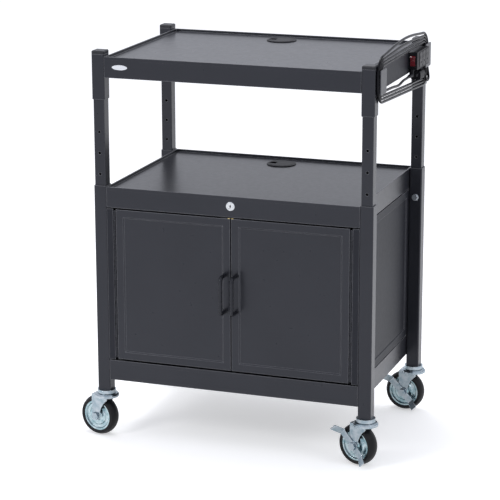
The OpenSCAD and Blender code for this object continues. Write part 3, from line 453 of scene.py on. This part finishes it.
def cord_route():
    """The whole cord from its strain relief to its plug: the lead along the
    underside, the winding round both horns, and the tail."""
    down = np.array([0, 0, STUB])
    first = winding(np.array([0.0, 1.0]))
    start = first[0] * (1 - WIND_START_SHARE) + first[1] * WIND_START_SHARE
    lead = [np.array(LEAD_START) + (0, y, z) for y, z in LEAD_STEPS]
    lead = through(lead + [start - 2 * down, start - down], CURVE_STEPS)
    rings = np.concatenate([
        QUARTER * q + (STATIONS if q % 2 == 0 else np.sort(QUARTER - STATIONS))
        for q in range(int(4 * WIND_TURNS))])
    rings = np.unique(np.round(np.append(rings, TURN * WIND_TURNS), 6))
    hank = winding(np.minimum(rings[rings > LEAD_RING], LAST_RING))
    end = winding(np.array([LAST_RING]))[0]
    tail = [end - down + step for step in TAIL_STEPS]
    plug = np.array(PLUG_BACK)
    tail = through(tail + [plug + (0, STUB, 0), plug], CURVE_STEPS)
    path = np.concatenate([lead[:-1], [start - down, start], hank[:-1], [end], tail])
    apart = np.linalg.norm(np.diff(path, axis=0), axis=1) > SAME_POINT
    return path[np.append(True, apart)] / 1000


class CART_OT_mains_cord(bpy.types.Operator):
    """The mains cord, one tube from the strain relief to the plug"""
    bl_idname = "cart.mains_cord"
    bl_label = "Mains cord"

    def execute(self, context):
        size = context.scene.cart_cord
        path = relax(resample(cord_route(), size.spacing), passes=2)
        cord = tube("mains_cord", path, size.diameter / 2, size.sides)
        # Flexible PVC, drawn: satin, with soft draw lines along it
        cord.data.materials.append(
            jacket("pvc_cord_jacket", context.scene.cart_finishes.cord, 0.22))
        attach(cord, "upper")
        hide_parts("cord_lead", "cord_hank", "cord_tail")
        return {"FINISHED"}


# ---- the badge

BADGE_CENTRE = (-0.275, 0.921)    # across and up, on the front apron
BADGE_HALF = (0.0195, 0.006)    # half its width and half its height
BADGE_THICK = 0.0014
BADGE_SIDES = 64
# From the foot up the rim, over it and in to the middle: the share of the half
# height that is left, and the share of the thickness
BADGE_PROFILE = (
    (1.0, 0.0), (1.0, 0.6), (0.985, 0.85), (0.95, 1.0), (0.9, 0.9), (0.88, 0.7),
    (0.8, 0.72), (0.6, 0.75), (0.35, 0.78), (0.02, 0.8))


class CART_OT_badge(bpy.types.Operator):
    """The blank oval badge on the top shelf's apron"""
    bl_idname = "cart.badge"
    bl_label = "Blank badge"

    def execute(self, context):
        """Each row is an ellipse, as far inside the outline as the profile
        says and as far out from the apron."""
        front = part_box("shelf_top")[0].y
        half_w, half_h = BADGE_HALF
        turn = np.linspace(0, 2 * math.pi, BADGE_SIDES, endpoint=False)[None]
        share, out = np.array(BADGE_PROFILE).T[:, :, None]
        inset = half_h * (1 - share)
        x = BADGE_CENTRE[0] + (half_w - inset) * np.cos(turn)
        z = BADGE_CENTRE[1] + (half_h - inset) * np.sin(turn)
        points = np.stack(np.broadcast_arrays(x, front - out * BADGE_THICK, z), -1)
        badge = mesh_grid("oval_badge", points)
        # Cast badge with a white enamel face, smooth and glossy; it has no lettering
        badge.data.materials.append(coated(
            "white_enamel", linear("#e4e6ea"), 0.25, peel_mm=1.5, peel_height_mm=0.02,
            edge_mm=0.3, edge_highlight=0.0))
        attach(badge, "upper")
        return {"FINISHED"}


# ---- finishes of the CAD pieces

class CART_OT_sheet_steel(bpy.types.Operator):
    """Powder coat on the frame, shelves, doors and panels"""
    bl_idname = "cart.sheet_steel"
    bl_label = "Sheet steel"

    def execute(self, context):
        look = context.scene.cart_finishes
        # Polyester powder, sprayed and baked: satin with a fine orange peel,
        # 3 mm from crest to crest, and a painted highlight on its folded edges
        coat = coated(
            "charcoal_powder_coat", look.coat, look.coat_roughness, peel_mm=3.0,
            peel_height_mm=0.02, edge_mm=2.2, edge_highlight=0.8, specular=0.36,
            gloss_tint=BLUE_GLOSS)
        dress(coat, *(f"leg_{side}" for side in SIDES), "shelf_bottom", "shelf_middle",
              "shelf_top", "risers", "top_posts", "door_left", "door_right", "cord_hooks")
        # The wide side and back sheets are sprayed drier: the same powder, duller
        dry = coated(
            "charcoal_coat_dry", look.coat, look.coat_roughness + 0.2, peel_mm=3.0,
            peel_height_mm=0.04, edge_mm=2.2, edge_highlight=0.8, specular=0.2,
            gloss_tint=BLUE_GLOSS)
        dress(dry, "side_panel_left", "side_panel_right", "back_panel", "power_channel")
        # The same powder on drawn rod and rolled leaves, with a finer peel;
        # its colour is a darker copy of the coat's, painted shade
        fine = coated(
            "charcoal_coat_on_fittings", shade(look.coat, 0.8), look.coat_roughness - 0.02,
            peel_mm=2.0, peel_height_mm=0.03, edge_mm=0.6, edge_highlight=0.4, specular=0.3,
            gloss_tint=BLUE_GLOSS)
        dress(fine, "handle_left", "handle_right", "hinge_leaves_frame",
              "hinge_leaf_door_left", "hinge_leaf_door_right")
        return {"FINISHED"}


class CART_OT_hardware(bpy.types.Operator):
    """Lock, strikes, hinge pins and clamp bolts"""
    bl_idname = "cart.hardware"
    bl_label = "Hardware"

    def execute(self, context):
        # Bright nickel over a die-cast barrel: nearly a mirror
        nickel = plated("bright_nickel", linear("#c6c8ca"), linear("#b4b7ba"), 0.16,
                        blotch_mm=6.0, edge_mm=0.5)
        dress(nickel, "lock_barrel")
        dress(self.plug_with_painted_keyway_shade(), "lock_plug")
        dress(self.rubbed_coat(context.scene.cart_finishes.coat),
              "strike_left", "strike_right")
        # Zinc on turned and stamped steel: pale grey and satin
        zinc = plated("zinc_fasteners", linear("#b9c0c6"), linear("#a3a8ad"), 0.3,
                      blotch_mm=3.0)
        dress(zinc, "lock_cam", "hinge_pins", "height_bolts")
        return {"FINISHED"}

    def plug_with_painted_keyway_shade(self):
        """The lock's plug in brushed nickel, with painted shade for its keyway: a
        near-black ellipse of the keyway's size round the plug's middle, seen from the front."""
        material, tree = new_material("nickel_plug_with_keyway")
        low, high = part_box("lock_plug")
        place = add(tree, "ShaderNodeTexCoord")
        middle = add(tree, "ShaderNodeMapping", {
            "Vector": (place, "Object"), "Location": tuple(-(low + high) / 2)})
        scaled = add(tree, "ShaderNodeVectorMath", {
            0: (middle, 0), 1: (2 / KEYWAY_SHADE[0], 0, 2 / KEYWAY_SHADE[1])}, operation="MULTIPLY")
        reach = add(tree, "ShaderNodeVectorMath", {0: (scaled, 0)}, operation="LENGTH")
        metal_share = add(tree, "ShaderNodeMapRange", {
            "Value": (reach, "Value"), "From Min": 0.9, "From Max": 1.1})
        grain = add(tree, "ShaderNodeTexNoise", {
            "Vector": (place, "Object"), "Scale": BRUSHING})
        tone = add(tree, "ShaderNodeValToRGB", {"Fac": (grain, "Fac")},
                   stops=[(0.3, linear("#b9bbbe")), (0.7, linear("#cfd1d3"))])
        # Painted shade: near-black inside the ellipse, for the dark of the keyway
        face = add(tree, "ShaderNodeMix", {
            "Factor": (metal_share, "Result"), "A": rgba(linear("#0d0d0d")),
            "B": (tone, "Color")}, data_type="RGBA")
        metal = add(tree, "ShaderNodeBsdfPrincipled", {
            "Base Color": (face, "Result"), "Metallic": 1.0, "Roughness": 0.18})
        add(tree, "ShaderNodeOutputMaterial", {"Surface": (metal, 0)})
        return material

    def rubbed_coat(self, coat):
        """The strikes are coated with the doors, and the coat is rubbed off to
        yellow zinc within BARE of the seam between them."""
        material, tree = new_material("rubbed_coat_over_yellow_zinc")
        place = add(tree, "ShaderNodeTexCoord")
        axes = add(tree, "ShaderNodeSeparateXYZ", {"Vector": (place, "Object")})
        off = add(tree, "ShaderNodeMath", {0: (axes, "X")}, operation="ABSOLUTE")
        specks = add(tree, "ShaderNodeTexNoise", {
            "Vector": (place, "Object"), "Scale": SPECKLE})
        tone = add(tree, "ShaderNodeValToRGB", {"Fac": (specks, "Fac")},
                   stops=[(0.35, linear("#c8b98a")), (0.65, linear("#a8925e"))])
        kept = add(tree, "ShaderNodeMapRange", {
            "Value": (off, 0), "From Min": BARE - BARE_FADE, "From Max": BARE})
        metal = add(tree, "ShaderNodeBsdfPrincipled", {
            "Base Color": (tone, "Color"), "Metallic": 1.0, "Roughness": 0.3})
        paint = add(tree, "ShaderNodeBsdfPrincipled", {
            "Base Color": rgba(coat), "Roughness": 0.4})
        both = add(tree, "ShaderNodeMixShader", {
            "Fac": (kept, "Result"), 1: (metal, 0), 2: (paint, 0)})
        add(tree, "ShaderNodeOutputMaterial", {"Surface": (both, 0)})
        return material


class CART_OT_casters(bpy.types.Operator):
    """Forks, rims, tyres and brakes of the four casters"""
    bl_idname = "cart.casters"
    bl_label = "Casters"

    def execute(self, context):
        look = context.scene.cart_finishes
        # Pressed steel in clear passivated zinc: bright with a blue bloom
        zinc = plated("clear_zinc", look.zinc, linear("#8797a0"), 0.22, blotch_mm=14.0)
        rim = plated("blue_bright_zinc", linear("#b3c2c6"), linear("#7f9ca3"), 0.22,
                     blotch_mm=12.0)
        for side in SIDES:
            dress(zinc, f"caster_fork_{side}", f"caster_axle_{side}")
            dress(rim, f"caster_rim_{side}")
        dress(zinc, "caster_sockets", "brake_lever_front_right", "brake_lever_rear_right")
        # Moulded rubber: dull, with a mould texture drawn at about a millimetre
        rubber = coated("tyre_rubber", look.rubber, 0.45, peel_mm=0.9, peel_height_mm=0.06,
                        edge_mm=1.2, edge_highlight=0.12, specular=0.2)
        dress(rubber, *(f"caster_tyre_{side}" for side in SIDES))
        return {"FINISHED"}


class CART_OT_mouldings(bpy.types.Operator):
    """Plastic caps, grommets, outlet box, outlets, switch, relief and plug"""
    bl_idname = "cart.mouldings"
    bl_label = "Mouldings"

    def execute(self, context):
        look = context.scene.cart_finishes
        # Moulded polypropylene in the coat's tone: even and softly matt
        caps = coated("grained_polypropylene", shade(look.coat, 0.9), 0.4, peel_mm=0.8,
                      peel_height_mm=0.03, edge_mm=0.8, edge_highlight=0.2, specular=0.3)
        dress(caps, "post_caps")
        # Moulded ABS with a light spark texture, 0.8 mm from grain to grain: matt black
        grained = coated("grained_abs", look.moulding, 0.42, peel_mm=0.8,
                         peel_height_mm=0.03, edge_mm=0.8, edge_highlight=0.3, specular=0.1)
        dress(grained, "outlet_box", "cord_relief", "cord_plug", "grommet_middle",
              "grommet_top", "grommet_cap_middle", "grommet_cap_top")
        # Moulded thermoset for the outlets: harder and glossier
        outlets = coated("gloss_thermoset", shade(look.moulding, 1.3), 0.3, peel_mm=2.5,
                         peel_height_mm=0.02, edge_mm=0.6, edge_highlight=0.2, specular=0.12)
        dress(outlets, "receptacles")
        # Moulded red polycarbonate: smooth and glossy, dark while its lamp is off
        rocker = coated("red_polycarbonate", look.rocker, 0.22, peel_mm=3.0,
                        peel_height_mm=0.01, edge_mm=0.6, edge_highlight=0.1)
        dress(rocker, "rocker_switch")
        return {"FINISHED"}


# ---- the studio

FLOOR_HALF, FLOOR_POINTS = 14.0, 9
FLOOR_LIFT = 0.45    # light that the seen floor adds, so that lit paper is white
# Each lamp's name, its power among the properties, its place and its side
LAMPS = (
    ("key_lamp", "key", (-1.6, -2.6, 2.2), 0.8),
    ("side_lamp", "fill", (3.0, -1.2, 2.6), 0.8),
    ("top_lamp", "top", (-0.4, 0.5, 3.0), 1.3))
LAMP_AIM = (0, 0, 0.55)    # the middle of the cart
SENSOR_MM = 36.0
FAR_CLIP = 100.0
CAMERA_PLACE = (1.6169, -4.6581, 1.7448)
CAMERA_ROLL = math.radians(-0.11)


class CART_OT_stage(bpy.types.Operator):
    """White floor, white room, soft lamps and the photograph's camera"""
    bl_idname = "cart.stage"
    bl_label = "Studio"

    def execute(self, context):
        scene, look = context.scene, context.scene.cart_stage
        scene.view_settings.view_transform = "Standard"
        line = np.linspace(-FLOOR_HALF, FLOOR_HALF, FLOOR_POINTS)
        x, y = np.meshgrid(line, line)
        floor = mesh_grid("floor", np.stack([x, y, np.zeros_like(x)], -1), closed=False)
        floor.data.materials.append(self.floor_finish())
        self.room(scene, look.sky)
        for name, power, place, size in LAMPS:
            lamp = bpy.data.lights.new(name, "AREA")
            lamp.energy, lamp.size = getattr(look, power), size
            holder = bpy.data.objects.new(name, lamp)
            holder.matrix_world = (Matrix.Translation(place)
                                   @ self.facing(Vector(LAMP_AIM) - Vector(place)))
            scene.collection.objects.link(holder)
        self.camera(scene, look)
        return {"FINISHED"}

    def facing(self, ahead):
        """The turn that points a lamp or lens, which look down, ahead."""
        return ahead.to_track_quat("-Z", "Y").to_matrix().to_4x4()

    def floor_finish(self):
        """Matt white paper: it keeps the shadow, and camera and mirror rays
        see it lifted to white."""
        material, tree = new_material("white_paper_sweep")
        place = add(tree, "ShaderNodeTexCoord")
        clouds = add(tree, "ShaderNodeTexNoise", {
            "Vector": (place, "Object"), "Scale": FLOOR_CLOUDS})
        tone = add(tree, "ShaderNodeValToRGB", {"Fac": (clouds, "Fac")},
                   stops=[(0.3, linear("#f3f3f4")), (0.7, linear("#f6f6f6"))])
        paper = add(tree, "ShaderNodeBsdfDiffuse", {"Color": (tone, "Color")})
        level = add(tree, "ShaderNodeMath", {0: (self.seen(tree), 0), 1: FLOOR_LIFT},
                    operation="MULTIPLY")
        lift = add(tree, "ShaderNodeEmission", {"Strength": (level, 0)})
        both = add(tree, "ShaderNodeAddShader", {0: (paper, 0), 1: (lift, 0)})
        add(tree, "ShaderNodeOutputMaterial", {"Surface": (both, 0)})
        return material

    def seen(self, tree):
        """1 for camera, mirror and see-through rays, 0 for the light that
        falls on the object."""
        path = add(tree, "ShaderNodeLightPath")
        first = add(tree, "ShaderNodeMath", {
            0: (path, "Is Camera Ray"), 1: (path, "Is Glossy Ray")}, operation="MAXIMUM")
        return add(tree, "ShaderNodeMath", {
            0: (first, 0), 1: (path, "Is Transmission Ray")}, operation="MAXIMUM")

    def room(self, scene, strength):
        """A room that lights the object at its strength, a little cooler than
        the lamps, and is plain white where it is seen."""
        world = bpy.data.worlds.new("white_room")
        world.use_nodes = True
        tree = world.node_tree
        tree.nodes.clear()
        level = add(tree, "ShaderNodeMapRange", {
            "Value": (self.seen(tree), 0), "To Min": strength, "To Max": 1.0})
        view = add(tree, "ShaderNodeLightPath")
        tone = add(tree, "ShaderNodeMix", {
            "Factor": (view, "Is Camera Ray"), "A": rgba(BLUE_GLOSS), "B": rgba(WHITE)},
            data_type="RGBA")
        sky = add(tree, "ShaderNodeBackground", {
            "Color": (tone, "Result"), "Strength": (level, "Result")})
        add(tree, "ShaderNodeOutputWorld", {"Surface": (sky, 0)})
        scene.world = world

    def camera(self, scene, look):
        """Turned by yaw and pitch, then by a hair of roll, as fitted to the
        photograph's edges."""
        lens = bpy.data.cameras.new("photo_camera")
        lens.lens, lens.sensor_width, lens.clip_end = look.lens, SENSOR_MM, FAR_CLIP
        ahead = Vector((-math.sin(look.yaw) * math.cos(look.pitch),
                        math.cos(look.yaw) * math.cos(look.pitch), -math.sin(look.pitch)))
        roll = Matrix.Rotation(CAMERA_ROLL, 4, "Z")
        camera = bpy.data.objects.new("photo_camera", lens)
        camera.matrix_world = Matrix.Translation(CAMERA_PLACE) @ self.facing(ahead) @ roll
        scene.collection.objects.link(camera)
        scene.camera = camera


# ---- the add-on

STEPS = (CART_OT_stage, CART_OT_mains_cord, CART_OT_badge, CART_OT_sheet_steel,
         CART_OT_hardware, CART_OT_casters, CART_OT_mouldings)


class CART_PT_panel(bpy.types.Panel):
    """Lists the cart's pieces, their sizes and their colours"""
    bl_idname = "CART_PT_panel"
    bl_label = "Projector cart"
    bl_space_type = "VIEW_3D"
    bl_region_type = "UI"
    bl_category = "Cart"

    def draw(self, context):
        for step in STEPS:
            self.layout.operator(step.bl_idname)
        for group in (context.scene.cart_finishes, context.scene.cart_cord,
                      context.scene.cart_stage):
            for key in group.__annotations__:
                self.layout.prop(group, key)


GROUPS = {"cart_finishes": CartFinishes, "cart_cord": CartCord, "cart_stage": CartStage}
CLASSES = (*GROUPS.values(), *STEPS, CART_PT_panel)


def register():
    for cls in CLASSES:
        bpy.utils.register_class(cls)
    for name, group in GROUPS.items():
        setattr(bpy.types.Scene, name, PointerProperty(type=group))


def unregister():
    for name in GROUPS:
        delattr(bpy.types.Scene, name)
    for cls in reversed(CLASSES):
        bpy.utils.unregister_class(cls)


def main():
    """Registers the add-on, then builds every piece in turn."""
    register()
    for step in STEPS:
        group, name = step.bl_idname.split(".")
        getattr(getattr(bpy.ops, group), name)()


if __name__ == "__main__":
    main()
